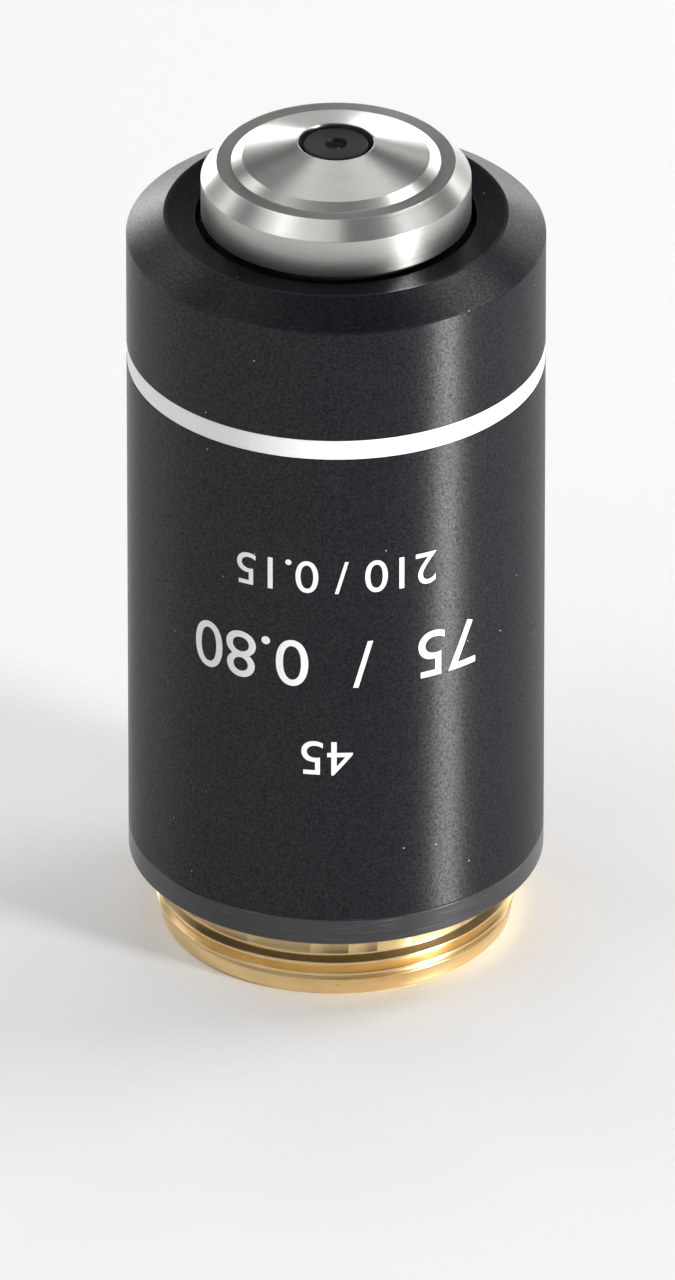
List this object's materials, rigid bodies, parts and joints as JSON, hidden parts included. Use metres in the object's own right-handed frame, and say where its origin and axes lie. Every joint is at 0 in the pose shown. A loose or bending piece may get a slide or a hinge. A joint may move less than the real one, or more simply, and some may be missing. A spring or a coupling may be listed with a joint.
{
  "type": "microscope objective",
  "caption": "Spring-loaded microscope objective: black anodised sleeve, stainless nose cap on a sliding lens barrel, and a brass screw end with the society thread.",
  "frame": {"origin": "centre of the screw's end face, on the optical axis", "axes": "+Z along the optical axis from the screw to the nose; +Y towards the guide screw's side"},
  "size_m": [0.0232, 0.0232, 0.0492],
  "materials": {
    "sleeve_black": "fine blasted black anodising",
    "flange_black": "turned, dark grey anodising, semi-gloss",
    "band_white": "white paint laid in a groove",
    "screw_brass": "turned, lightly lacquered",
    "cap_steel": "fine turned stainless steel",
    "cell_black": "matt blackened brass",
    "screw_steel": "oiled steel",
    "spring_steel": "drawn spring wire",
    "crown_glass": "polished and coated",
    "flint_glass": "polished and coated"
  },
  "bodies": {
    "housing": {"mount_thread": "screw_brass", "flange_housing": "flange_black", "outer_sleeve": "sleeve_black", "colour_band": "band_white", "coil_spring": "spring_steel", "guide_screw": "screw_steel"},
    "lens_unit": {"inner_barrel": "cell_black", "parfocal_ring": "screw_brass", "parfocal_lock_ring": "screw_brass", "nose_cap": "cap_steel", "front_lens_cell": "cell_black", "front_lens": "crown_glass", "meniscus_cell": "cell_black", "meniscus_lens": "crown_glass", "front_doublet_cell": "cell_black", "front_doublet_crown": "crown_glass", "front_doublet_flint": "flint_glass", "front_spacer": "cell_black", "triplet_cell": "cell_black", "triplet_front_flint": "flint_glass", "triplet_crown": "crown_glass", "triplet_rear_flint": "flint_glass", "centring_screws": "screw_steel", "aperture_stop": "cell_black", "middle_spacer": "cell_black", "rear_doublet_cell": "cell_black", "rear_doublet_crown": "crown_glass", "rear_doublet_flint": "flint_glass", "rear_spacer": "cell_black", "rear_lens_cell": "cell_black", "rear_lens": "flint_glass", "clamp_tube": "cell_black", "stack_retaining_ring": "cell_black"}
  },
  "joints": [
    {"name": "nose_retract", "type": "slide", "parent": "housing", "child": "lens_unit", "axis": [0, 0, -1], "range_m": [0, 0.0022], "stiffness_N_per_m": 500, "springref_m": -0.006, "deforming": ["coil_spring"]}
  ]
}
